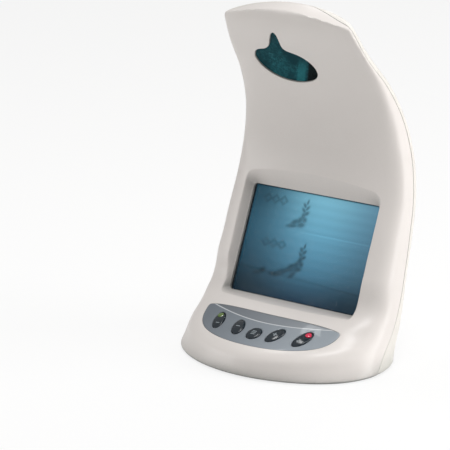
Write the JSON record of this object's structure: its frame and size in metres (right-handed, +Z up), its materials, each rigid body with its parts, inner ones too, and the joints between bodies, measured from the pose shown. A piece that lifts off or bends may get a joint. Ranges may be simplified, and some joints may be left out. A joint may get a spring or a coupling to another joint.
{
  "type": "counterfeit bill detector",
  "caption": "Infrared banknote viewer with a crescent body, an overhanging head with a filter window, a leaning screen and push buttons on a grey fascia.",
  "frame": {"origin": "on the table, under the middle of the body", "axes": "+Z up, the screen and buttons face -Y, +X to the right as seen from the front"},
  "size_m": [0.156, 0.1289, 0.2385],
  "materials": {
    "shell": "fine satin moulded ABS, warm light grey",
    "back_shell": "fine satin moulded ABS, warm light grey",
    "fascia": "satin grey",
    "button": "gloss blue-black",
    "lamp_green": "clear green lens",
    "lamp_red": "clear red lens",
    "filter": "dark teal filter",
    "clear": "clear acrylic",
    "lcd": "lit blue-grey display",
    "backlight": "white",
    "sheet_steel": "bright sheet steel",
    "screw": "zinc-plated",
    "weight": "grey painted steel",
    "rubber": "matt black",
    "silicone": "grey silicone",
    "base": "black, fine texture",
    "pcb": "green solder mask",
    "chip": "black epoxy",
    "black": "black",
    "lens": "coated glass",
    "led": "dark clear epoxy",
    "cable": "grey flat cable"
  },
  "bodies": {
    "casing": {"front_shell": "shell", "back_shell": "back_shell", "base_plate": "base", "rubber_feet": "rubber", "base_screws": "screw", "shell_screws": "screw", "ballast_weight": "weight", "screen_window": "clear", "lcd_frame": "sheet_steel", "lcd_glass": "lcd", "backlight": "backlight", "lcd_clips": "sheet_steel", "clip_screws": "screw", "screen_driver_board": "pcb", "driver_board_chips": "chip", "main_board": "pcb", "main_board_parts": "chip", "board_screws": "screw", "control_fascia": "fascia", "button_board": "pcb", "tact_switches": "chip", "indicator_leds": "led", "return_pad": "silicone", "ir_window": "filter", "camera_bracket": "sheet_steel", "camera_board": "pcb", "lens_holder": "black", "camera_lens": "lens", "ir_led_board": "pcb", "ir_leds": "led", "head_screws": "screw", "power_socket": "black", "video_socket": "black", "screen_ribbon": "cable", "camera_cable": "cable", "button_cable": "cable"},
    "button_1": {"button_1": "button", "green_lens": "lamp_green"},
    "button_2": {"button_2": "button"},
    "button_3": {"button_3": "button"},
    "button_4": {"button_4": "button"},
    "button_5": {"button_5": "button", "red_lens": "lamp_red"}
  },
  "joints": [
    {"name": "press_1", "type": "slide", "parent": "casing", "child": "button_1", "axis": [0, 0.3746, -0.9272], "range_m": [0, 0.0008], "stiffness_N_per_m": 120, "springref_m": -0.0005},
    {"name": "press_2", "type": "slide", "parent": "casing", "child": "button_2", "axis": [0, 0.3746, -0.9272], "range_m": [0, 0.0008], "stiffness_N_per_m": 120, "springref_m": -0.0005},
    {"name": "press_3", "type": "slide", "parent": "casing", "child": "button_3", "axis": [0, 0.3746, -0.9272], "range_m": [0, 0.0008], "stiffness_N_per_m": 120, "springref_m": -0.0005},
    {"name": "press_4", "type": "slide", "parent": "casing", "child": "button_4", "axis": [0, 0.3746, -0.9272], "range_m": [0, 0.0008], "stiffness_N_per_m": 120, "springref_m": -0.0005},
    {"name": "press_5", "type": "slide", "parent": "casing", "child": "button_5", "axis": [0, 0.3746, -0.9272], "range_m": [0, 0.0008], "stiffness_N_per_m": 120, "springref_m": -0.0005}
  ]
}
